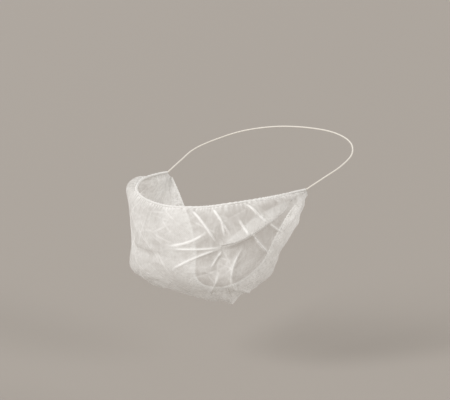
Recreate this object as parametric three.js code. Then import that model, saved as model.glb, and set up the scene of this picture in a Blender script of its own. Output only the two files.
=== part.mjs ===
// A worn beard net: a boat-shaped pouch of thin nonwoven that hangs round the lower face, a rolled
// hem along each of its two long edges, and one elastic that goes round the back of the head.
// Millimetres, +Z up. The wearer faces -Y and the wearer's left is +X. The origin is the middle of
// the head opening, halfway between the two ear corners where the elastic is sewn in.

import * as THREE from 'three';

// ---- Driving dimensions -------------------------------------------------------------------------

const CLOTH_WALL = 1.2; // thickness of the pouch's wall
const HEM_RADIUS = 1.1; // half the thickness of a rolled hem
const ELASTIC_RADIUS = 0.65; // half the thickness of the head elastic
const GAP = 0.3; // clearance between pieces that touch

const ARC_LENGTH = 157; // from the middle of the pouch to an ear corner, along the cloth
const DROP_LENGTH = 138; // from the upper hem to the lower hem, along the cloth at the chin

const COLUMNS = 76; // steps of the pouch's grid from ear to ear
const ROWS = 28; // steps of the pouch's grid from the upper hem to the lower hem
const HEM_STEPS = 56;
const HEM_SIDES = 6;
const ELASTIC_STEPS = 56;
const ELASTIC_SIDES = 8;

// Sections of the pouch, from the middle of the face to the left ear corner. Each row follows the
// cloth down one section: along the upper hem, over the cheek, the side, the chin turn, the fold
// under the jaw and back to the lower hem against the neck.
const SECTIONS = [
  { upper: [0, -97, -6], cheek: [0, -104, -16], side: [0, -107, -44],
    chin: [0, -99, -69], under: [0, -52, -91], lower: [0, -38, -85] },
  { upper: [27, -90, -5], cheek: [29, -97, -15], side: [30, -100, -43],
    chin: [29, -93, -69], under: [19, -48, -90], lower: [12, -36, -84] },
  { upper: [47, -77, -2], cheek: [50, -82, -12], side: [49, -81.5, -41],
    chin: [50, -79, -69], under: [34, -38, -85], lower: [25, -27, -78] },
  { upper: [61, -57, 0], cheek: [67.5, -61, -5], side: [64.5, -59.5, -38],
    chin: [60, -53, -62], under: [48, -20, -72], lower: [35, -11, -64] },
  { upper: [69, -37, 1], cheek: [74, -38, -4], side: [70.5, -34, -29],
    chin: [65, -31, -46], under: [57, -16, -47], lower: [44, -6, -43] },
  { upper: [71, -16, 1], cheek: [72.5, -15, -5], side: [72, -13, -14],
    chin: [70, -11, -22], under: [66, -6, -24], lower: [57.5, -3, -19] },
  { upper: [71, -2, 0.5], cheek: [71.2, -1.2, -0.5], side: [71.2, -0.4, -1.5],
    chin: [71, 0.4, -2.5], under: [70.6, 1.2, -3.4], lower: [70, 2, -4.3] },
];
const RAILS = ['upper', 'cheek', 'side', 'chin', 'under', 'lower'];

// Folds of the cloth. Places are [along, down]: along is -1 at the right ear, 0 at the middle and
// 1 at the left ear; down is 0 at the upper hem and 1 at the lower hem. A fold runs on a bend from
// its first place to its last, stands `high` mm out of the cloth, or into it where negative, and is
// `wide` mm across. A lap is a pleat that rises slowly on its upper side and drops at its edge.
const FOLDS = [
  { name: 'big lap', from: [0.73, 0.11], bend: [0.49, 0.25], to: [0.29, 0.26], wide: 13, high: 4.2,
    lap: true },
  { name: 'long crease', from: [0.3, 0.265], bend: [0.2, 0.255], to: [0.09, 0.265], wide: 5, high: 2 },
  { name: 'split crease', from: [0.3, 0.27], bend: [0.18, 0.27], to: [0.08, 0.35], wide: 5, high: 1.8 },
  { name: 'lip gather', from: [0.12, 0.02], bend: [0.18, 0.06], to: [0.28, 0.25], wide: 5, high: 2 },
  { name: 'cheek gather', from: [0.23, 0.02], bend: [0.28, 0.07], to: [0.34, 0.2], wide: 5, high: 2 },
  { name: 'jaw gather', from: [0.41, 0.02], bend: [0.455, 0.09], to: [0.53, 0.2], wide: 5, high: 1.6 },
  { name: 'under lap', from: [0.44, 0.22], bend: [0.475, 0.29], to: [0.56, 0.46], wide: 5, high: 2 },
  { name: 'ear branch', from: [0.54, 0.2], bend: [0.58, 0.26], to: [0.65, 0.38], wide: 5, high: 1.6 },
  { name: 'hollow rim', from: [0.41, 0.3], bend: [0.29, 0.43], to: [0.36, 0.66], wide: 6, high: 2.4 },
  { name: 'jaw hollow', from: [0.29, 0.31], bend: [0.26, 0.38], to: [0.28, 0.45], wide: 9, high: -2.8 },
  { name: 'chin rib', from: [0.28, 0.42], bend: [0.22, 0.54], to: [0.16, 0.72], wide: 5, high: 1.4 },
  { name: 'throat rib', from: [0.31, 0.5], bend: [0.31, 0.6], to: [0.29, 0.72], wide: 5, high: 1.4 },
  { name: 'low point', from: [0.28, 0.62], bend: [0.25, 0.74], to: [0.24, 0.94], wide: 11, high: 4 },
  { name: 'small point', from: [0.37, 0.62], bend: [0.365, 0.74], to: [0.36, 0.92], wide: 8, high: 2 },
  { name: 'chin bag', from: [0.06, 0.8], bend: [0.18, 0.82], to: [0.34, 0.84], wide: 24, high: 2.2 },
  { name: 'far chin tuck', from: [-0.34, 0.82], bend: [-0.2, 0.8], to: [-0.07, 0.8], wide: 24, high: -2.2 },
  { name: 'front dent', from: [-0.5, 0.3], bend: [-0.2, 0.33], to: [0.04, 0.3], wide: 8, high: -1.8 },
  { name: 'far cheek puff', from: [-0.72, 0.05], bend: [-0.58, 0.05], to: [-0.44, 0.06], wide: 14,
    high: 3.5 },
  { name: 'far cheek fold', from: [-0.74, 0.16], bend: [-0.52, 0.3], to: [-0.3, 0.36], wide: 8, high: 1.6 },
  { name: 'far jaw fold', from: [-0.62, 0.3], bend: [-0.5, 0.42], to: [-0.4, 0.7], wide: 7, high: 2 },
  { name: 'far chin rib', from: [-0.14, 0.42], bend: [-0.18, 0.56], to: [-0.17, 0.8], wide: 6, high: 1.8 },
];

// Gathers that the two elastic hems draw into the cloth. Each dies out `reach` mm from its hem.
const UPPER_GATHERS = { waves: 19, high: 0.7, reach: 12 };
const LOWER_GATHERS = { waves: 17, high: 1.8, reach: 26 };
// Pleats that run into the two ear corners, between these two places along the pouch.
const CORNER_PLEATS = { waves: 3, high: 1.1, starts: 0.6, strongest: 0.85 };
const HEM_HOLD = 8; // the cloth is held to its plain form within this distance of a hem
const SLACK_SECTION = 60; // sections shorter than this, near the ears, are pulled smoother

// The head elastic's route, from the left ear corner to the middle of the back of the head.
const ELASTIC_ROUTE = [
  [71.1, -1.5, 0.6], [74, 22, 7.5], [76, 45, 14], [70, 72, 20], [55, 93, 26], [30, 107, 30], [0, 112, 31],
];

const CLOTH_COLOR = 0xe9e6e1;
const HEM_COLOR = 0xf1eee9;
const ELASTIC_COLOR = 0xf4f0e8;

// ---- The cloth's form ---------------------------------------------------------------------------

const mirrored = ([x, y, z]) => [-x, y, z];

// A smooth curve through a half's points and their mirror images, from the right ear to the left.
function wholeCurve(half) {
  const points = [...half.slice(1).reverse().map(mirrored), ...half];
  return new THREE.CatmullRomCurve3(points.map((p) => new THREE.Vector3(...p)), false, 'catmullrom');
}

const rails = RAILS.map((rail) => wholeCurve(SECTIONS.map((section) => section[rail])));

function sectionCurve(along) {
  const points = rails.map((rail) => rail.getPoint((along + 1) / 2));
  return new THREE.CatmullRomCurve3(points, false, 'catmullrom');
}

// The outward normal of the unfolded cloth, from four near points on it.
function outwardNormal(along, down) {
  const step = 0.01;
  const [left, right] = [Math.max(along - step, -1), Math.min(along + step, 1)];
  const [above, below] = [Math.max(down - step, 0), Math.min(down + step, 1)];
  const across = sectionCurve(right).getPointAt(down).sub(sectionCurve(left).getPointAt(down));
  const section = sectionCurve(along);
  const downward = section.getPointAt(below).sub(section.getPointAt(above));
  return downward.cross(across).normalize();
}

const flatPlace = ([along, down]) => new THREE.Vector2(along * ARC_LENGTH, down * DROP_LENGTH);

const fadeIn = (value, start, end) => THREE.MathUtils.smoothstep(value, start, end);

const foldCurves = FOLDS.map((fold) => {
  const curve = new THREE.QuadraticBezierCurve(...[fold.from, fold.bend, fold.to].map(flatPlace));
  return { ...fold, points: curve.getPoints(16) };
});

// The place on a fold's line nearest to a point of the flat cloth: how far along the line it is,
// from 0 to 1, and how far off, positive on the side towards the upper hem.
function nearestOnFold(points, place) {
  let best = { distance: Infinity };
  for (let i = 0; i < points.length - 1; i += 1) {
    const run = points[i + 1].clone().sub(points[i]);
    const offset = place.clone().sub(points[i]);
    const part = THREE.MathUtils.clamp(offset.dot(run) / run.lengthSq(), 0, 1);
    const miss = offset.sub(run.clone().multiplyScalar(part));
    if (miss.length() < best.distance) {
      const side = run.x < 0 ? run.cross(miss) : -run.cross(miss);
      best = { distance: miss.length(), side: Math.sign(side), progress: (i + part) / (points.length - 1) };
    }
  }
  return best;
}

function foldHeight(fold, place) {
  const { distance, side, progress } = nearestOnFold(fold.points, place);
  const taper = fadeIn(progress, -0.05, 0.25) * fadeIn(1 - progress, -0.05, 0.25);
  const half = fold.wide / 2;
  if (!fold.lap) return fold.high * taper * Math.exp(-((distance / half) ** 2));
  const rising = 1 - fadeIn(distance, 0, fold.wide);
  const falling = 1 - fadeIn(distance, 0, half);
  return fold.high * taper * (side > 0 ? rising : falling);
}

function gatherHeight(gathers, along, fromHem) {
  const wave = Math.cos(along * gathers.waves * Math.PI);
  return gathers.high * wave * (1 - fadeIn(fromHem, 0, gathers.reach));
}

function pleatHeight(along, down) {
  const { waves, high, starts, strongest } = CORNER_PLEATS;
  const near = Math.abs(along);
  const window = fadeIn(near, starts, strongest) * (1 - fadeIn(near, strongest, 1));
  return high * window * Math.cos(down * waves * 2 * Math.PI);
}

// How far the folded cloth stands off the unfolded form. It comes back to the form at both hems.
function clothHeight(along, down, length) {
  const place = flatPlace([along, down]);
  const [fromUpper, fromLower] = [down * length, (1 - down) * length];
  let height = pleatHeight(along, down);
  for (const fold of foldCurves) height += foldHeight(fold, place);
  height += gatherHeight(UPPER_GATHERS, along, fromUpper);
  height += gatherHeight(LOWER_GATHERS, along, fromLower);
  const slack = fadeIn(length, 0, SLACK_SECTION);
  return height * slack * fadeIn(fromUpper, 0, HEM_HOLD) * fadeIn(fromLower, 0, HEM_HOLD);
}

// ---- The pieces ---------------------------------------------------------------------------------

// How far short of a hem's middle line the cloth ends, measured along a section that slants to it.
function hemInset(rail, along, sectionTangent) {
  const slant = rail.getTangent((along + 1) / 2).angleTo(sectionTangent);
  return (HEM_RADIUS + GAP) / Math.sin(slant);
}

// The middle of the cloth's wall and its outward normal, at each step of the pouch's grid.
function pouchGrid() {
  const grid = [];
  for (let column = 0; column <= COLUMNS; column += 1) {
    const along = (2 * column) / COLUMNS - 1;
    const section = sectionCurve(along);
    const length = section.getLength();
    const top = hemInset(rails[0], along, section.getTangentAt(0)) / length;
    const bottom = 1 - hemInset(rails.at(-1), along, section.getTangentAt(1)) / length;
    for (let row = 0; row <= ROWS; row += 1) {
      const down = THREE.MathUtils.lerp(top, bottom, row / ROWS);
      const normal = outwardNormal(along, down);
      const height = clothHeight(along, down, length);
      grid.push({ middle: section.getPointAt(down).addScaledVector(normal, height), normal });
    }
  }
  return grid;
}

// The pouch is one closed shell: an outer and an inner grid of the same cloth, joined at the rims.
// Each square is split along its shorter diagonal, so that the edges run with the folds.
function pouchGeometry() {
  const grid = pouchGrid();
  const offset = (distance) => grid.flatMap(({ middle, normal }) => (
    middle.clone().addScaledVector(normal, distance).toArray()));
  const outer = (column, row) => column * (ROWS + 1) + row;
  const inner = (column, row) => grid.length + outer(column, row);
  const indices = [];
  const square = (a, b, c, d) => {
    const [p, q, r, s] = [a, b, c, d].map((index) => grid[index % grid.length].middle);
    if (p.distanceTo(r) <= q.distanceTo(s)) indices.push(a, b, c, a, c, d);
    else indices.push(b, c, d, b, d, a);
  };
  for (let c = 0; c < COLUMNS; c += 1) {
    for (let r = 0; r < ROWS; r += 1) {
      square(outer(c, r), outer(c, r + 1), outer(c + 1, r + 1), outer(c + 1, r));
      square(inner(c, r), inner(c + 1, r), inner(c + 1, r + 1), inner(c, r + 1));
    }
    square(outer(c, 0), outer(c + 1, 0), inner(c + 1, 0), inner(c, 0));
    square(outer(c, ROWS), inner(c, ROWS), inner(c + 1, ROWS), outer(c + 1, ROWS));
  }
  for (let r = 0; r < ROWS; r += 1) {
    square(outer(0, r), inner(0, r), inner(0, r + 1), outer(0, r + 1));
    square(outer(COLUMNS, r), outer(COLUMNS, r + 1), inner(COLUMNS, r + 1), inner(COLUMNS, r));
  }
  const geometry = new THREE.BufferGeometry();
  const positions = [...offset(CLOTH_WALL / 2), ...offset(-CLOTH_WALL / 2)];
  geometry.setAttribute('position', new THREE.Float32BufferAttribute(positions, 3));
  geometry.setIndex(indices);
  return geometry;
}

// A round strand: a regular polygon carried along a curve, closed by a flat face at each end.
function strandGeometry(path, radius, sides, steps) {
  const section = new THREE.Shape();
  for (let side = 0; side < sides; side += 1) {
    const angle = (2 * Math.PI * side) / sides;
    const [x, y] = [radius * Math.cos(angle), radius * Math.sin(angle)];
    if (side === 0) section.moveTo(x, y);
    else section.lineTo(x, y);
  }
  section.closePath();
  return new THREE.ExtrudeGeometry(section, { steps, extrudePath: path, bevelEnabled: false });
}

function piece(name, geometry, color, roughness) {
  geometry.computeVertexNormals();
  const material = new THREE.MeshStandardMaterial({ color, roughness, metalness: 0 });
  const mesh = new THREE.Mesh(geometry, material);
  mesh.name = name;
  return mesh;
}

function beardCover() {
  return piece('beard_cover', pouchGeometry(), CLOTH_COLOR, 0.85);
}

function upperHem() {
  return piece('upper_hem', strandGeometry(rails[0], HEM_RADIUS, HEM_SIDES, HEM_STEPS), HEM_COLOR, 0.85);
}

function lowerHem() {
  return piece('lower_hem', strandGeometry(rails.at(-1), HEM_RADIUS, HEM_SIDES, HEM_STEPS), HEM_COLOR, 0.85);
}

function headElastic() {
  const route = wholeCurve([...ELASTIC_ROUTE].reverse());
  const strand = strandGeometry(route, ELASTIC_RADIUS, ELASTIC_SIDES, ELASTIC_STEPS);
  return piece('head_elastic', strand, ELASTIC_COLOR, 0.7);
}

const group = new THREE.Group();
group.name = 'beard_net';
group.add(beardCover(), upperHem(), lowerHem(), headElastic());

export default group;
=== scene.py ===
"""The looks of a worn beard net, built in Blender 4.5 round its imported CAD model.

The cloth is one fine sheet. Its plain form comes from a table of sections. One big lap, a table of
folds, gathers at the two hems, pleats at the ears and seeded creases are laid over it. Tables and
lengths of the cloth are in millimetres and become metres when a mesh is made.
"""
import math

import bpy
import numpy as np
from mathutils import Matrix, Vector


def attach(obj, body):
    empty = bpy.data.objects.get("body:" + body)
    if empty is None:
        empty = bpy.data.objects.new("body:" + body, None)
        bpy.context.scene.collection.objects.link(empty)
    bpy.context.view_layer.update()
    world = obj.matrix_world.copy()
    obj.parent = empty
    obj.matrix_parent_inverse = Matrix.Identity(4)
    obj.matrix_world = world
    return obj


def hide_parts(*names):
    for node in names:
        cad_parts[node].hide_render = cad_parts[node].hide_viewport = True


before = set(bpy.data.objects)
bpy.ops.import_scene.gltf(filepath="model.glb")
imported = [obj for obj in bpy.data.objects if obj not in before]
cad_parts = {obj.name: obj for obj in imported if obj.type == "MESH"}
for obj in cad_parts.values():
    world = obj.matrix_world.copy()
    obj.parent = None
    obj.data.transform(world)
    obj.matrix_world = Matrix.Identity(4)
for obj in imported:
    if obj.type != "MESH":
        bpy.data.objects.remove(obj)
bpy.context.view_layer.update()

MM = 0.001
BODY = "root"

# ---- The cloth's plain form -------------------------------------------------------------------

# Sections from the middle of the face to the left ear corner. Each row follows the cloth down one
# section: upper hem, cheek, side, chin turn, fold under the jaw, lower hem against the neck.
SECTIONS = [
    dict(upper=(0, -97, -6), cheek=(0, -104, -16), side=(0, -107, -44),
         chin=(0, -99, -69), under=(0, -52, -91), lower=(0, -38, -85)),
    dict(upper=(27, -90, -5), cheek=(29, -97, -15), side=(30, -100, -43),
         chin=(29, -93, -69), under=(19, -48, -90), lower=(12, -36, -84)),
    dict(upper=(47, -77, -2), cheek=(50, -82, -12), side=(49, -81.5, -41),
         chin=(50, -79, -69), under=(34, -38, -85), lower=(25, -27, -78)),
    dict(upper=(61, -57, 0), cheek=(67.5, -61, -5), side=(64.5, -59.5, -38),
         chin=(60, -53, -62), under=(48, -20, -72), lower=(35, -11, -64)),
    dict(upper=(69, -37, 1), cheek=(74, -38, -4), side=(70.5, -34, -29),
         chin=(65, -31, -46), under=(57, -16, -47), lower=(44, -6, -43)),
    dict(upper=(71, -16, 1), cheek=(72.5, -15, -5), side=(72, -13, -14),
         chin=(70, -11, -22), under=(66, -6, -24), lower=(57.5, -3, -19)),
    dict(upper=(71, -2, 0.5), cheek=(71.2, -1.2, -0.5), side=(71.2, -0.4, -1.5),
         chin=(71, 0.4, -2.5), under=(70.6, 1.2, -3.4), lower=(70, 2, -4.3)),
]
RAILS = ("upper", "cheek", "side", "chin", "under", "lower")

ARC_LENGTH = 157.0  # from the middle of the pouch to an ear corner, along the cloth
DROP_LENGTH = 138.0  # from the upper hem to the lower hem, along the cloth at the chin
COLUMNS = 420  # steps of the fine sheet from ear to ear
ROWS = 200  # steps of the fine sheet from the upper hem to the lower hem
TABLE_COLUMNS = 480  # steps of the table that the plain form is looked up in
TABLE_ROWS = 220
SECTION_SAMPLES = 4 * TABLE_ROWS  # points that the length of a section is measured with

# Folds. Places are (along, down): along is -1 at the right ear and 1 at the left ear, down is 0 at
# the upper hem and 1 at the lower hem. Each runs on a bend, stands `high` mm out of the cloth, or
# into it where negative, and is `wide` mm across. `crisp` is 1 for a pressed crease, 0 for a roll.
FOLDS = [
    dict(name="long_crease", at=((0.30, 0.262), (0.17, 0.26), (0.05, 0.262)),
         wide=3.6, high=1.4, crisp=1),
    dict(name="split_crease", at=((0.30, 0.268), (0.15, 0.29), (0.04, 0.4)),
         wide=3.6, high=1.4, crisp=1),
    dict(name="lip_branch", at=((0.215, 0.16), (0.143, 0.228), (0.03, 0.245)),
         wide=3.0, high=0.8, crisp=1),
    dict(name="lip_gather", at=((0.12, 0.02), (0.18, 0.06), (0.28, 0.25)),
         wide=3.2, high=1.4, crisp=1),
    dict(name="cheek_gather", at=((0.23, 0.01), (0.28, 0.07), (0.34, 0.2)),
         wide=3.2, high=1.4, crisp=1),
    dict(name="cheek_branch", at=((0.285, 0.085), (0.3, 0.13), (0.31, 0.2)),
         wide=2.6, high=1.0, crisp=1),
    dict(name="jaw_gather", at=((0.41, 0.01), (0.455, 0.09), (0.53, 0.2)),
         wide=3.2, high=1.4, crisp=1),
    dict(name="band_crease", at=((0.38, 0.11), (0.4, 0.16), (0.43, 0.23)),
         wide=2.6, high=1.0, crisp=1),
    dict(name="under_lap", at=((0.44, 0.22), (0.475, 0.29), (0.56, 0.46)),
         wide=3.2, high=2.8, crisp=1),
    dict(name="ear_branch", at=((0.54, 0.2), (0.58, 0.26), (0.65, 0.38)),
         wide=3.4, high=1.3, crisp=1),
    dict(name="hollow_rim", at=((0.41, 0.3), (0.29, 0.43), (0.36, 0.66)),
         wide=4.5, high=2.2, crisp=0.7),
    dict(name="jaw_hollow", at=((0.29, 0.31), (0.26, 0.38), (0.28, 0.45)),
         wide=9, high=-2.0, crisp=0.3),
    dict(name="hollow_edge", at=((0.30, 0.285), (0.27, 0.32), (0.24, 0.38)),
         wide=3, high=1.2, crisp=1),
    dict(name="chin_rib", at=((0.28, 0.42), (0.22, 0.54), (0.16, 0.72)),
         wide=3.6, high=0.8, crisp=0.8),
    dict(name="throat_rib", at=((0.31, 0.5), (0.31, 0.6), (0.29, 0.72)),
         wide=3.6, high=1.1, crisp=0.8),
    dict(name="low_point", at=((0.28, 0.62), (0.25, 0.74), (0.24, 0.94)),
         wide=11, high=4.4, crisp=0.25),
    dict(name="small_point", at=((0.37, 0.62), (0.365, 0.74), (0.36, 0.92)),
         wide=5, high=2, crisp=0.4),
    dict(name="chin_bag", at=((0.06, 0.8), (0.18, 0.82), (0.34, 0.84)),
         wide=24, high=2.2, crisp=0),
    dict(name="far_chin_tuck", at=((-0.34, 0.82), (-0.2, 0.8), (-0.07, 0.8)),
         wide=24, high=-2.2, crisp=0),
    dict(name="far_cheek_puff", at=((-0.74, 0.07), (-0.58, 0.06), (-0.42, 0.07)),
         wide=20, high=2.4, crisp=0),
    dict(name="front_dent", at=((-0.5, 0.3), (-0.2, 0.33), (0.04, 0.3)),
         wide=8, high=-1.8, crisp=0),
    dict(name="far_cheek_fold", at=((-0.74, 0.16), (-0.52, 0.3), (-0.3, 0.36)),
         wide=7, high=1.4, crisp=0.6),
    dict(name="far_jaw_fold", at=((-0.62, 0.3), (-0.5, 0.42), (-0.4, 0.7)),
         wide=6, high=2, crisp=0.6),
    dict(name="far_chin_rib", at=((-0.14, 0.42), (-0.18, 0.56), (-0.17, 0.8)),
         wide=5, high=1.8, crisp=0.6),
]

FOLD_ENDS = (-0.05, 0.25)  # a fold fades in between these shares of its length, from either end
FOLD_LINE = 0.9  # half the width of a pressed fold's line
FOLD_RIDGE = 0.6  # half the width of a pressed fold's ridge, as a share of half its `wide`

# The big lap: a pleat of three layers along a bend below the upper hem. Each row says how deep the
# folded-back cloth is at one place along it.
LAP_AT = ((0.73, 0.11), (0.49, 0.25), (0.29, 0.26))
LAP_DEPTHS = [
    dict(along=0.0, deep=3.0),
    dict(along=0.1, deep=8.0),
    dict(along=0.25, deep=11.0),
    dict(along=0.55, deep=14.0),
    dict(along=0.85, deep=7.0),
    dict(along=1.0, deep=0.0),
]
LAP_STEPS = 60
LAP_HIGH = 4.2  # how far the lap's edge stands out
LAP_RISE = 13.0  # width of its slope on the side of the upper hem
LAP_FALL = 5.0  # width of the drop under its edge
LAP_REACH = 16.0  # the cloth below the edge that is drawn up into the lap
LAP_DRAWN = 0.85  # the share of the cloth between the upper hem and the edge that is drawn into it
LAP_ENDS = 0.2  # the share of its length over which it fades in, from either end
LAP_TURN = 0.9  # roundness of its two turns
LAP_EDGE = 0.8  # half the width of the crease along its edge
LAP_CREASE = 0.8  # how sharp that crease is, from 0 to 1
LAYER_GAP = 0.7  # distance between its layers
LAYER_DEPTH = 3.0  # where the folded-back cloth is less deep than this, its layers lie closer
LAYER_STEP = 1.0  # half the distance over which the cloth passes from one layer to the next

# Gathers that the two elastic hems draw into the cloth: so many waves from ear to ear, whose
# length wanders by `wobble`. Each kind dies out `reach` mm from its hem.
UPPER_GATHERS = dict(waves=19, wobble=0.8, high=0.7, reach=12)
LOWER_GATHERS = dict(waves=17, wobble=0.5, high=1.8, reach=26)
UPPER_PUCKERS = dict(waves=95, wobble=2.0, high=0.5, reach=6)
LOWER_PUCKERS = dict(waves=70, wobble=2.0, high=0.8, reach=10)

# Pleats that run along the cloth into each ear corner: so many from hem to hem. They start at one
# place along it, are strongest at another and are gone at the corner.
CORNER_PLEATS = dict(waves=3, high=1.1, starts=0.6, strongest=0.85)

# The slow sines that make the length of every wave wander.
WANDER = [
    dict(share=1.0, rate=7.3, shift=1.1),
    dict(share=0.6, rate=17.9, shift=2.3),
    dict(share=0.4, rate=31.7, shift=0.0),
]

HEM_HOLD = 3.0  # the cloth is held to its plain form within this distance of a hem
SLACK_SECTION = 60.0  # sections shorter than this, near the ears, are pulled smoother
BUNCHED_SECTION = 95.0  # sections shorter than this are bunched up, and so less see-through
BUNCHED_MOST = 1.3  # at an ear corner, before bunching is capped at 1
UPPER_TURN_IN = 2.6  # the distance over which the cloth turned in at a hem thins out
LOWER_TURN_IN = 3.2
TURN_IN_DASHES = 0.7  # how unevenly the turned-in cloth shows along its hem

CREASE_COUNT = 240  # seeded fine creases over the whole sheet
CREASE_SEED = 7
CREASE_AREA = ((-0.92, 0.04), (0.92, 0.96))  # places (along, down) that their middles lie between
CREASE_SMALLEST = (5, 2.0, 0.15)  # half length, half width and height of the least of them
CREASE_LARGEST = (18, 6.0, 0.6)
CREASE_ENDS = 2  # where one is cut off, in half lengths and in half widths
CREASE_SIDES = 3
CREASE_OUTWARD = 0.65  # the share that stands out of the cloth; the rest go into it
CREASE_LINE = 0.7  # half the width of a fine crease's pressed line
CREASE_SHARP = 0.7  # how sharp that line is, for each mm of the crease's height

HEM_RADIUS = 1.0
HEM_STEPS = 900
HEM_SIDES = 12

# Small gathers of the rolled cloth, stronger on one side that twists along the hem, and slower
# swells. Heights are shares of the hem's radius.
HEM_BUNCHES = dict(waves=85, wobble=2.0, high=0.16, uneven=0.3, twist=40)
HEM_SWELLS = dict(waves=31, wobble=1.2, high=0.05)
HEM_ENDS = dict(reach=0.006, radius=0.6)  # at the ear corners it narrows to this share

ELASTIC_RADIUS = 0.62
ELASTIC_STEPS = 700
ELASTIC_SIDES = 10
RING_STEPS = 4  # steps of the elastic from one ring of its knitted cover to the next
RING_HIGH = 0.05  # how high a ring stands, as a share of the elastic's radius

# The head elastic's route, from the left ear corner to the middle of the back of the head.
ELASTIC_ROUTE = [
    (71.1, -1.5, 0.6), (74, 22, 7.5), (76, 45, 14), (70, 72, 20), (55, 93, 26), (30, 107, 30),
    (0, 112, 31),
]


def smoothstep(value, start, end):
    part = np.clip((value - start) / (end - start), 0.0, 1.0)
    return part * part * (3.0 - 2.0 * part)


def catmull_rom(points, places):
    """Points on the smooth curve through `points`, at places from 0 to 1. `points` may be an array
    of curves: its first axis runs along them all."""
    last = len(points) - 1
    padded = np.concatenate([[2 * points[0] - points[1]], points, [2 * points[-1] - points[-2]]])
    spans = np.clip(np.asarray(places, float), 0, 1) * last
    index = np.minimum(spans.astype(int), last - 1)
    part = (spans - index).reshape((-1,) + (1,) * (points.ndim - 1))
    before, start, end, after = (padded[index + shift] for shift in range(4))
    return 0.5 * (
        2 * start + (end - before) * part
        + (2 * before - 5 * start + 4 * end - after) * part**2
        + (3 * start - before - 3 * end + after) * part**3
    )


def whole(half):
    """A half's points with their mirror images, from the right ear to the left."""
    half = np.array(half, float)
    return np.concatenate([(half[1:] * (-1, 1, 1))[::-1], half])


def plain_form():
    """The unfolded cloth and its outward normals as tables of TABLE_COLUMNS by TABLE_ROWS steps,
    and each section's length. Steps down a section are of equal length."""
    rails = np.stack([whole([section[rail] for section in SECTIONS]) for rail in RAILS], axis=1)
    sections = catmull_rom(rails, np.linspace(0, 1, TABLE_COLUMNS + 1))
    fine = catmull_rom(sections.transpose(1, 0, 2), np.linspace(0, 1, SECTION_SAMPLES))
    steps = np.linalg.norm(np.diff(fine, axis=0), axis=2)
    run = np.concatenate([np.zeros((1, TABLE_COLUMNS + 1)), np.cumsum(steps, axis=0)])
    down = np.linspace(0, 1, TABLE_ROWS + 1)
    form = np.empty((TABLE_COLUMNS + 1, TABLE_ROWS + 1, 3))
    for column in range(TABLE_COLUMNS + 1):
        for axis in range(3):
            values = fine[:, column, axis]
            form[column, :, axis] = np.interp(down * run[-1, column], run[:, column], values)
    normals = np.cross(np.gradient(form, axis=1), np.gradient(form, axis=0))
    normals /= np.linalg.norm(normals, axis=2, keepdims=True)
    return form, normals, run[-1]


FORM, NORMALS, SECTION_LENGTHS = plain_form()


def look_up(table, along, down):
    """The values of a table of the cloth at places (along, down), blended between its steps."""
    column = np.clip((along + 1) / 2, 0, 1) * TABLE_COLUMNS
    row = np.clip(down, 0, 1) * TABLE_ROWS
    left = np.minimum(column.astype(int), TABLE_COLUMNS - 1)
    above = np.minimum(row.astype(int), TABLE_ROWS - 1)
    across = (column - left)[..., None]
    below = (row - above)[..., None]
    top = table[left, above] * (1 - across) + table[left + 1, above] * across
    bottom = table[left, above + 1] * (1 - across) + table[left + 1, above + 1] * across
    return top * (1 - below) + bottom * below


def section_length(along):
    return np.interp((along + 1) / 2, np.linspace(0, 1, TABLE_COLUMNS + 1), SECTION_LENGTHS)


# ---- Folds ------------------------------------------------------------------------------------

def bend_points(at, count=24):
    """Points of a quadratic bend through its first, bending and last place, in flat millimetres."""
    first, middle, last = (np.array(place) * (ARC_LENGTH, DROP_LENGTH) for place in at)
    part = np.linspace(0, 1, count + 1)[:, None]
    return (1 - part) ** 2 * first + 2 * part * (1 - part) * middle + part**2 * last


def nearest_on_line(line, places):
    """For each flat place: how far along the line its nearest point is, from 0 to 1, how far off it
    is, positive on the side of the upper hem, and the direction towards that side."""
    best = np.full(len(places), np.inf)
    progress = np.zeros(len(places))
    side = np.zeros(len(places))
    upward = np.zeros((len(places), 2))
    for step in range(len(line) - 1):
        run = line[step + 1] - line[step]
        offset = places - line[step]
        part = np.clip(offset @ run / (run @ run), 0, 1)
        miss = offset - part[:, None] * run
        distance = np.hypot(*miss.T)
        normal = np.array([run[1], -run[0]]) / np.hypot(*run)
        normal *= -np.sign(normal[1]) if normal[1] else 1
        closer = distance < best
        best = np.where(closer, distance, best)
        progress = np.where(closer, (step + part) / (len(line) - 1), progress)
        side = np.where(closer, np.where(miss @ normal >= 0, 1.0, -1.0), side)
        upward[closer] = normal
    return progress, best * side, upward


def fade_in(progress, start, end):
    """Rises from 0 to 1 between two shares of a line's length, from either of its ends."""
    return smoothstep(progress, start, end) * smoothstep(1 - progress, start, end)


def fold_height(fold, places):
    """How far one fold lifts the cloth, and how strongly it is creased there."""
    progress, distance, _ = nearest_on_line(bend_points(fold["at"]), places)
    taper = fade_in(progress, *FOLD_ENDS)
    half = fold["wide"] / 2
    roll = np.exp(-((distance / half) ** 2))
    ridge = np.exp(-np.abs(distance) / (FOLD_RIDGE * half))
    shape = roll + fold["crisp"] * (ridge - roll)
    crease = fold["crisp"] * taper * np.exp(-((distance / FOLD_LINE) ** 2))
    return fold["high"] * taper * shape, crease


def rounded_ramp(value, turn):
    return 0.5 * (value + np.sqrt(value**2 + turn**2))


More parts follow.
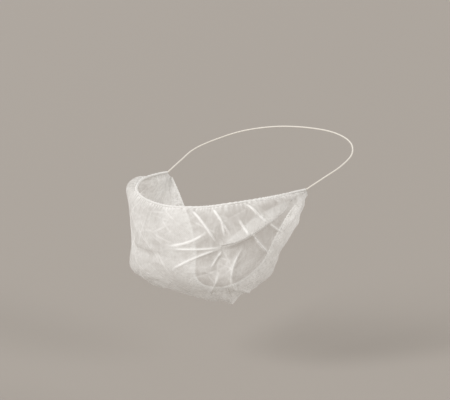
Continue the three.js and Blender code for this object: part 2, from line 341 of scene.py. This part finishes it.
def lap(places):
    """Folds the flat cloth into the big lap. Returns where each place of the cloth goes, how far it
    is lifted, and how near it is to the lap's edge, from 0 to 1."""
    line = bend_points(LAP_AT, LAP_STEPS)
    progress, distance, upward = nearest_on_line(line, places)
    stations = [row["along"] for row in LAP_DEPTHS]
    deep = np.interp(progress, stations, [row["deep"] for row in LAP_DEPTHS])
    to_hem = np.interp(progress, np.linspace(0, 1, len(line)), line[:, 1])
    above = LAP_DRAWN * to_hem
    whole_run = above + LAP_REACH + 2 * deep
    run = (above - distance) / (above + LAP_REACH) * whole_run
    inside = (run > 0) & (run < whole_run)
    first_turn = run - above
    second_turn = run - above - deep
    folded = (above - run + 2 * rounded_ramp(first_turn, LAP_TURN)
              - 2 * rounded_ramp(second_turn, LAP_TURN))
    folded = np.where(inside, folded, distance)
    moved = places + (folded - distance)[:, None] * upward

    ends = fade_in(progress, 0, LAP_ENDS)
    rising = 1 - smoothstep(folded, 0, LAP_RISE)
    falling = 1 - smoothstep(-folded, 0, LAP_FALL)
    height = LAP_HIGH * ends * np.where(folded > 0, rising, falling)
    turned = sum(smoothstep(turn, -LAYER_STEP, LAYER_STEP) for turn in (first_turn, second_turn))
    settles = 1 - smoothstep(-folded, 0, LAP_REACH)
    height -= LAYER_GAP * turned * settles * np.minimum(deep / LAYER_DEPTH, 1) * inside
    beside = progress * (1 - progress) > 0
    edge = ends * np.exp(-((folded / LAP_EDGE) ** 2)) * beside * inside
    return moved, height, edge


def wave(along, kind):
    """A wave of height 1 from ear to ear, with the `waves` and `wobble` of a kind of gather."""
    wander = sum(sine["share"] * np.sin(along * sine["rate"] + sine["shift"]) for sine in WANDER)
    return np.cos((along * kind["waves"] + kind["wobble"] * wander) * math.pi)


def gathers(along, from_upper, from_lower):
    """How far the gathers at the two hems lift each place."""
    height = np.zeros(len(along))
    for kind, from_hem in ((UPPER_GATHERS, from_upper), (LOWER_GATHERS, from_lower),
                           (UPPER_PUCKERS, from_upper), (LOWER_PUCKERS, from_lower)):
        height += kind["high"] * wave(along, kind) * (1 - smoothstep(from_hem, 0, kind["reach"]))
    return height


def corner_pleats(along, down):
    near = np.abs(along)
    window = smoothstep(near, CORNER_PLEATS["starts"], CORNER_PLEATS["strongest"]) * (
        1 - smoothstep(near, CORNER_PLEATS["strongest"], 1))
    return CORNER_PLEATS["high"] * window * np.cos(down * CORNER_PLEATS["waves"] * 2 * math.pi)


def fine_creases(places):
    """Seeded short creases, which give thin nonwoven its crumpled facets: how far they lift each
    place, and how creased it is."""
    rng = np.random.default_rng(CREASE_SEED)
    height = np.zeros(len(places))
    crease = np.zeros(len(places))
    for _ in range(CREASE_COUNT):
        middle = rng.uniform(CREASE_AREA[0], CREASE_AREA[1]) * (ARC_LENGTH, DROP_LENGTH)
        angle = rng.uniform(-math.pi / 2, math.pi / 2)
        long, wide, high = rng.uniform(CREASE_SMALLEST, CREASE_LARGEST)
        direction = np.array([math.cos(angle), math.sin(angle)])
        offset = places - middle
        run = np.abs(offset @ direction) / long
        miss = np.abs(offset @ np.array([-direction[1], direction[0]])) / wide
        near = (run < CREASE_ENDS) & (miss < CREASE_SIDES)
        sign = 1 if rng.random() < CREASE_OUTWARD else -1
        height[near] += sign * high * np.exp(-run[near] ** 2) * np.exp(-miss[near])
        off_line = miss[near] * wide / CREASE_LINE
        line = CREASE_SHARP * high * np.exp(-run[near] ** 2) * np.exp(-off_line**2)
        crease[near] = np.maximum(crease[near], line)
    return height, crease


def shape_cloth(along, down):
    """Where places of the flat cloth lie once it is worn, how creased each is, and how much cloth
    is turned in or bunched up there."""
    flat = np.stack([along * ARC_LENGTH, down * DROP_LENGTH], axis=1)
    moved, lap_height, lap_edge = lap(flat)
    along, down = moved[:, 0] / ARC_LENGTH, moved[:, 1] / DROP_LENGTH
    length = section_length(along)
    from_upper, from_lower = down * length, (1 - down) * length

    height, crease = fine_creases(moved)
    height += lap_height + corner_pleats(along, down)
    crease = np.maximum(crease, LAP_CREASE * lap_edge)
    for fold in FOLDS:
        lift, line = fold_height(fold, moved)
        height += lift
        crease = np.maximum(crease, line)
    height += gathers(along, from_upper, from_lower)
    slack = smoothstep(length, 0, SLACK_SECTION)
    height *= slack * smoothstep(from_upper, 0, HEM_HOLD) * smoothstep(from_lower, 0, HEM_HOLD)

    points = look_up(FORM, along, down) + height[:, None] * look_up(NORMALS, along, down)
    bunched = BUNCHED_MOST * (1 - smoothstep(length, 0, BUNCHED_SECTION))
    dashes = 1 + TURN_IN_DASHES * wave(along, UPPER_PUCKERS)
    turned_in = dashes * (np.exp(-from_upper / UPPER_TURN_IN) + np.exp(-from_lower / LOWER_TURN_IN))
    return points, np.clip(crease, 0, 1), np.clip(turned_in + bunched, 0, 1)


# ---- Meshes -----------------------------------------------------------------------------------

def make_mesh(name, points, faces, smooth=True):
    """A mesh object from points in millimetres."""
    mesh = bpy.data.meshes.new(name)
    mesh.from_pydata((np.asarray(points) * MM).tolist(), [], [list(face) for face in faces])
    mesh.validate()
    mesh.polygons.foreach_set("use_smooth", [smooth] * len(mesh.polygons))
    obj = bpy.data.objects.new(name, mesh)
    bpy.context.collection.objects.link(obj)
    return obj


def grid_faces(columns, rows, closed_rows=False):
    """The squares of a grid whose points run row by row within each column."""
    count = rows if closed_rows else rows + 1
    faces = []
    for column in range(columns):
        for row in range(rows):
            here = column * count + row
            below = column * count + (row + 1) % count
            faces.append((here, below, below + count, here + count))
    return faces


def set_attribute(obj, name, values):
    attribute = obj.data.attributes.new(name, "FLOAT", "POINT")
    attribute.data.foreach_set("value", np.asarray(values, dtype=np.float32))


def set_flat_map(obj, across, down):
    """A UV map of the flat cloth, from each point's place across and down it."""
    corners = np.empty(len(obj.data.loops), dtype=np.int32)
    obj.data.loops.foreach_get("vertex_index", corners)
    uv = np.stack([across[corners], down[corners]], axis=1).astype(np.float32)
    obj.data.uv_layers.new(name="flat_cloth").data.foreach_set("uv", uv.ravel())


def make_cover():
    """The pouch: one sheet from hem to hem."""
    columns, rows = np.linspace(-1, 1, COLUMNS + 1), np.linspace(0, 1, ROWS + 1)
    along, down = (axis.ravel() for axis in np.meshgrid(columns, rows, indexing="ij"))
    points, crease, bunching = shape_cloth(along, down)
    cover = make_mesh("cloth_pouch", points, grid_faces(COLUMNS, ROWS))
    set_attribute(cover, "crease", crease)
    set_attribute(cover, "bunching", bunching)
    set_flat_map(cover, (along + 1) / 2, down)
    return cover


def frames_along(path):
    """Two directions square to a path at each of its points, which turn as little as they can."""
    tangents = np.gradient(path, axis=0)
    tangents /= np.linalg.norm(tangents, axis=1, keepdims=True)
    side = np.cross(tangents[0], (0, 0, 1.0))
    sides = []
    for tangent in tangents:
        side = side - tangent * (side @ tangent)
        side = side / np.linalg.norm(side)
        sides.append(side)
    sides = np.array(sides)
    return sides, np.cross(tangents, sides)


def make_strand(name, path, radii):
    """A round strand along a path, with a radius at each point and round it, and closed ends."""
    around = radii.shape[1]
    sides, ups = frames_along(path)
    angles = (np.arange(around) * 2 * math.pi / around)[None, :, None]
    ring = np.cos(angles) * sides[:, None] + np.sin(angles) * ups[:, None]
    points = (path[:, None] + radii[:, :, None] * ring).reshape(-1, 3)
    faces = grid_faces(len(path) - 1, around, closed_rows=True)
    first, last = len(points), len(points) + 1
    points = np.concatenate([points, path[:1], path[-1:]])
    end = (len(path) - 1) * around
    faces += [(first, (step + 1) % around, step) for step in range(around)]
    faces += [(last, end + step, end + (step + 1) % around) for step in range(around)]
    return make_mesh(name, points, faces)


def make_hem(name, rail):
    """A rolled hem: a strand whose cloth is bunched into small uneven gathers."""
    half = [section[rail] for section in SECTIONS]
    path = catmull_rom(whole(half), np.linspace(0, 1, HEM_STEPS + 1))
    along = np.linspace(-1, 1, HEM_STEPS + 1)
    angles = np.arange(HEM_SIDES) * 2 * math.pi / HEM_SIDES
    uneven = 1 + HEM_BUNCHES["uneven"] * np.cos(angles + HEM_BUNCHES["twist"] * along[:, None])
    bunch = HEM_BUNCHES["high"] * wave(along, HEM_BUNCHES)[:, None] * uneven
    swell = HEM_SWELLS["high"] * wave(along, HEM_SWELLS)[:, None]
    from_end = smoothstep(1 - np.abs(along), 0, HEM_ENDS["reach"])[:, None]
    ends = from_end * (1 - HEM_ENDS["radius"]) + HEM_ENDS["radius"]
    return make_strand(name, path, HEM_RADIUS * ends * (1 + bunch + swell))


def make_elastic():
    """The head elastic: a round core under a knitted cover, as fine rings along it."""
    path = catmull_rom(whole(ELASTIC_ROUTE[::-1]), np.linspace(0, 1, ELASTIC_STEPS + 1))
    rings = 1 + RING_HIGH * np.cos(np.arange(ELASTIC_STEPS + 1) * 2 * math.pi / RING_STEPS)
    return make_strand("elastic_strand", path, ELASTIC_RADIUS * rings[:, None] * np.ones(ELASTIC_SIDES))


# ---- Materials --------------------------------------------------------------------------------

# Colours, each pair from the darker to the lighter parts of its noise.
CLOTH_COLORS = ((0.80, 0.79, 0.77, 1), (0.86, 0.855, 0.84, 1))
# Painted light: a lighter colour mixed in along the creases stands in for light scattered through the
# folded cloth, and it lifts the shade on a fold's turned-away side.
CREASE_PAINTED_LIGHT_COLOR = (0.93, 0.925, 0.91, 1)
HEM_COLORS = ((0.80, 0.79, 0.765, 1), (0.88, 0.875, 0.86, 1))
ELASTIC_COLORS = ((0.74, 0.70, 0.63, 1), (0.84, 0.81, 0.75, 1))
FLOOR_COLOR = (0.40, 0.37, 0.34, 1)
WORLD_COLOR = (0.36, 0.335, 0.305, 1)

# The cloth's opacity: that of one plain layer, and the most that each thing adds or takes away.
OPACITY = dict(plain=0.40, patches=0.05, clouds=0.07, fibres=0.05, crumple=0.12, dots=0.1,
               crease=0.6, bunching=0.5)
HEM_OPACITY = (0.86, 1.0)  # of the thinnest and the thickest parts of a rolled hem
NOISE_RANGE = (0.3, 0.7)  # where most of a noise texture's values lie
CRUMPLE_FOOT = 0.35  # the value from which ridges begin to show
CRUMPLE_RELIEF = 3.0  # how high the crumples stand against the fibres
DOT_PITCH = 0.0012  # metres between the bonding dots
DOT_RADIUS = 0.00035
DOT_TURN = 45.0  # degrees by which the grid of dots is slanted


class Nodes:
    """A material's node tree, built one node at a time."""

    def __init__(self, name, flat=False):
        self.flat = flat
        self.material = bpy.data.materials.new(name)
        self.material.use_nodes = True
        self.tree = self.material.node_tree
        self.surface = self.tree.nodes["Principled BSDF"]

    def add(self, kind, inputs=(), **settings):
        node = self.tree.nodes.new(kind)
        for name, value in settings.items():
            setattr(node, name, value)
        for name, value in dict(inputs).items():
            self.put(node, name, value)
        return node

    def put(self, node, name, value):
        """Sets a socket to a number, or joins another node's output to it."""
        if isinstance(value, bpy.types.NodeSocket):
            self.tree.links.new(value, node.inputs[name])
        else:
            node.inputs[name].default_value = value

    def place(self, stretch=(1, 1, 1), turn=0.0):
        """Metres over the object, or over the flat cloth where the material is for that."""
        source = self.add("ShaderNodeTexCoord").outputs["UV" if self.flat else "Object"]
        if self.flat:
            metres = {"Vector": source, "Scale": (2 * ARC_LENGTH * MM, DROP_LENGTH * MM, 1)}
            source = self.add("ShaderNodeMapping", metres).outputs["Vector"]
        values = {"Vector": source, "Rotation": (0, 0, turn), "Scale": stretch}
        return self.add("ShaderNodeMapping", values).outputs["Vector"]

    def noise(self, scale, detail, distortion, stretch=(1, 1, 1)):
        """Noise with so many features per metre, squeezed along each axis by `stretch`."""
        values = {"Vector": self.place(stretch), "Scale": scale, "Detail": detail,
                  "Distortion": distortion}
        return self.add("ShaderNodeTexNoise", values).outputs["Fac"]

    def ridges(self, scale):
        """A net of fine ridges, as thin cloth has once it was crumpled: near 1 on a ridge."""
        values = {"Vector": self.place(), "Scale": scale, "Detail": 3.0, "Roughness": 0.5,
                  "Distortion": 0.4, "Offset": 0.9, "Gain": 1.6}
        return self.add("ShaderNodeTexNoise", values, noise_type="RIDGED_MULTIFRACTAL").outputs["Fac"]

    def dots(self, pitch, radius):
        """Round dots in a slanted grid: 1 at the middle of each and 0 outside it."""
        values = {"Vector": self.place(turn=math.radians(DOT_TURN)), "Scale": 1 / pitch,
                  "Randomness": 0.0}
        distance = self.add("ShaderNodeTexVoronoi", values).outputs["Distance"]
        return self.remap(distance, radius / pitch, 0.5 * radius / pitch, 0.0, 1.0)

    def maths(self, operation, first, second):
        return self.add("ShaderNodeMath", {0: first, 1: second}, operation=operation).outputs[0]

    def times(self, value, factor):
        return self.maths("MULTIPLY", value, factor)

    def remap(self, value, low, high, new_low, new_high):
        values = {"Value": value, "From Min": low, "From Max": high, "To Min": new_low,
                  "To Max": new_high}
        return self.add("ShaderNodeMapRange", values).outputs["Result"]

    def spread(self, noise, low, high):
        """Noise, spread so that most of its values fill the range from `low` to `high`."""
        return self.remap(noise, *NOISE_RANGE, low, high)

    def vary(self, noise, most):
        """Noise, spread evenly about 0 by up to `most`."""
        return self.spread(noise, -most, most)

    def mix(self, part, first, second):
        node = self.add("ShaderNodeMix", data_type="RGBA")
        self.put(node, 0, part)
        self.put(node, 6, first)
        self.put(node, 7, second)
        return node.outputs[2]

    def attribute(self, name):
        return self.add("ShaderNodeAttribute", attribute_name=name).outputs["Fac"]

    def bump(self, height, distance, strength):
        values = {"Height": height, "Distance": distance, "Strength": strength}
        return self.add("ShaderNodeBump", values).outputs["Normal"]

    def finish(self, **sockets):
        for name, value in sockets.items():
            self.put(self.surface, name.replace("_", " "), value)
        return self.material


def nonwoven():
    """Thin white spunbond polypropylene: half see-through, cloudy, denser at creases and hems, and with
    painted light that makes its creases lighter.
    """
    nodes = Nodes("spunbond", flat=True)
    crease = nodes.attribute("crease")
    bunching = nodes.attribute("bunching")
    patches = nodes.noise(scale=70, detail=2, distortion=0.6)
    clouds = nodes.noise(scale=230, detail=3, distortion=0.4)
    fibres = nodes.noise(scale=900, detail=2, distortion=1.2, stretch=(1, 0.3, 1))
    crumple = nodes.remap(nodes.ridges(scale=38), CRUMPLE_FOOT, 1.0, 0.0, 1.0)
    dots = nodes.dots(DOT_PITCH, DOT_RADIUS)

    cloth = nodes.maths("ADD", nodes.vary(clouds, OPACITY["clouds"]),
                        nodes.vary(fibres, OPACITY["fibres"]))
    cloth = nodes.maths("ADD", cloth, nodes.vary(patches, OPACITY["patches"]))
    cloth = nodes.maths("ADD", cloth, nodes.times(crumple, OPACITY["crumple"]))
    cloth = nodes.maths("SUBTRACT", cloth, nodes.times(dots, OPACITY["dots"]))
    denser = nodes.maths("MAXIMUM", nodes.times(crease, OPACITY["crease"]),
                         nodes.times(bunching, OPACITY["bunching"]))
    alpha = nodes.maths("ADD", nodes.maths("ADD", OPACITY["plain"], cloth), denser)

    colour = nodes.mix(nodes.spread(clouds, 0, 1), *CLOTH_COLORS)
    # Painted light: the colour turns lighter along the creases, as if lit by light scattered through
    # the folded cloth.
    colour = nodes.mix(crease, colour, CREASE_PAINTED_LIGHT_COLOR)
    relief = nodes.maths("ADD", nodes.times(crumple, CRUMPLE_RELIEF), fibres)
    return nodes.finish(Base_Color=colour, Alpha=alpha, Roughness=0.7,
                        Normal=nodes.bump(relief, distance=0.0003, strength=0.7),
                        Sheen_Weight=0.15, Sheen_Roughness=0.5, IOR=1.45)


def rolled_hem():
    """The same cloth rolled over several times: nearly solid."""
    nodes = Nodes("rolled_spunbond")
    fibres = nodes.noise(scale=1100, detail=3, distortion=0.8)
    return nodes.finish(Base_Color=nodes.mix(fibres, *HEM_COLORS),
                        Alpha=nodes.spread(fibres, *HEM_OPACITY), Roughness=0.75,
                        Normal=nodes.bump(fibres, distance=0.0002, strength=0.6),
                        Sheen_Weight=0.15, Sheen_Roughness=0.5, IOR=1.45)


def knitted_elastic():
    """Off-white elastic with a covering of fine thread."""
    nodes = Nodes("covered_elastic")
    threads = nodes.noise(scale=1800, detail=2, distortion=0.6)
    return nodes.finish(Base_Color=nodes.mix(threads, *ELASTIC_COLORS), Roughness=0.8,
                        Normal=nodes.bump(threads, distance=0.00015, strength=0.6),
                        Sheen_Weight=0.25, Sheen_Roughness=0.5, IOR=1.5)


def plain_floor():
    nodes = Nodes("floor_paint")
    return nodes.finish(Base_Color=FLOOR_COLOR, Roughness=0.9, Specular_IOR_Level=0.1)


# ---- The scene --------------------------------------------------------------------------------

VIEW_AZIMUTH = 35.0
VIEW_ELEVATION = 11.0
VIEW_DISTANCE = 1.8
AIM_RIGHT = -0.00966  # the point aimed at, from the origin along the picture's right and up
AIM_UP = -0.0161
SENSOR = 36.0
PICTURE_WIDTH = 0.381  # width of the view at the object
FLOOR_HEIGHT = -0.16
FLOOR_REACH = 60000.0  # millimetres each way from the middle

# Broad distant lights round the object, by the angles that views are named by.
LIGHTS = [
    dict(name="key", azimuth=-12, elevation=28, strength=2.2),
    dict(name="fill", azimuth=80, elevation=24, strength=0.9),
    dict(name="back_left", azimuth=150, elevation=20, strength=0.9),
    dict(name="back_right", azimuth=240, elevation=22, strength=0.9),
]
LIGHT_SPREAD = 24.0  # degrees across, for soft shadows


def direction_at(azimuth, elevation):
    """The direction from the object that a view of these angles is taken from."""
    turn, rise = math.radians(azimuth), math.radians(elevation)
    return Vector((math.sin(turn) * math.cos(rise), -math.cos(turn) * math.cos(rise), math.sin(rise)))


def add_camera():
    back = direction_at(VIEW_AZIMUTH, VIEW_ELEVATION)
    right = direction_at(VIEW_AZIMUTH + 90, 0)
    up = back.cross(right)
    camera = bpy.data.objects.new("camera", bpy.data.cameras.new("camera"))
    camera.data.sensor_width = SENSOR
    camera.data.lens = SENSOR * VIEW_DISTANCE / PICTURE_WIDTH
    camera.location = right * AIM_RIGHT + up * AIM_UP + back * VIEW_DISTANCE
    camera.rotation_euler = back.to_track_quat("Z", "Y").to_euler()
    bpy.context.collection.objects.link(camera)
    bpy.context.scene.camera = camera


def add_light(name, azimuth, elevation, strength):
    """A soft light from far off that shines on the object from one of the angles of a view."""
    light = bpy.data.objects.new(name, bpy.data.lights.new(name, "SUN"))
    light.data.angle = math.radians(LIGHT_SPREAD)
    light.data.energy = strength
    light.location = direction_at(azimuth, elevation)
    light.rotation_euler = light.location.to_track_quat("Z", "Y").to_euler()
    bpy.context.collection.objects.link(light)


def add_floor():
    corners = np.array([(-1, -1, 0), (1, -1, 0), (1, 1, 0), (-1, 1, 0)]) * FLOOR_REACH
    floor = make_mesh("floor", corners, [(0, 1, 2, 3)], smooth=False)
    floor.location.z = FLOOR_HEIGHT
    floor.data.materials.append(plain_floor())


def add_world():
    world = bpy.data.worlds.new("world")
    world.use_nodes = True
    surface = world.node_tree.nodes["Background"]
    surface.inputs["Color"].default_value = WORLD_COLOR
    surface.inputs["Strength"].default_value = 1.0
    bpy.context.scene.world = world


def dress(obj, node, material):
    """Gives a piece its material and makes it stand for its CAD node."""
    obj.data.materials.append(material)
    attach(obj, BODY)
    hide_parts(node)


cover = make_cover()
upper_hem = make_hem("rolled_upper_hem", "upper")
lower_hem = make_hem("rolled_lower_hem", "lower")
elastic = make_elastic()

hem_material = rolled_hem()
dress(cover, "beard_cover", nonwoven())
dress(upper_hem, "upper_hem", hem_material)
dress(lower_hem, "lower_hem", hem_material)
dress(elastic, "head_elastic", knitted_elastic())

add_floor()
add_world()
add_camera()
for light in LIGHTS:
    add_light(**light)
bpy.context.scene.view_settings.view_transform = "Standard"
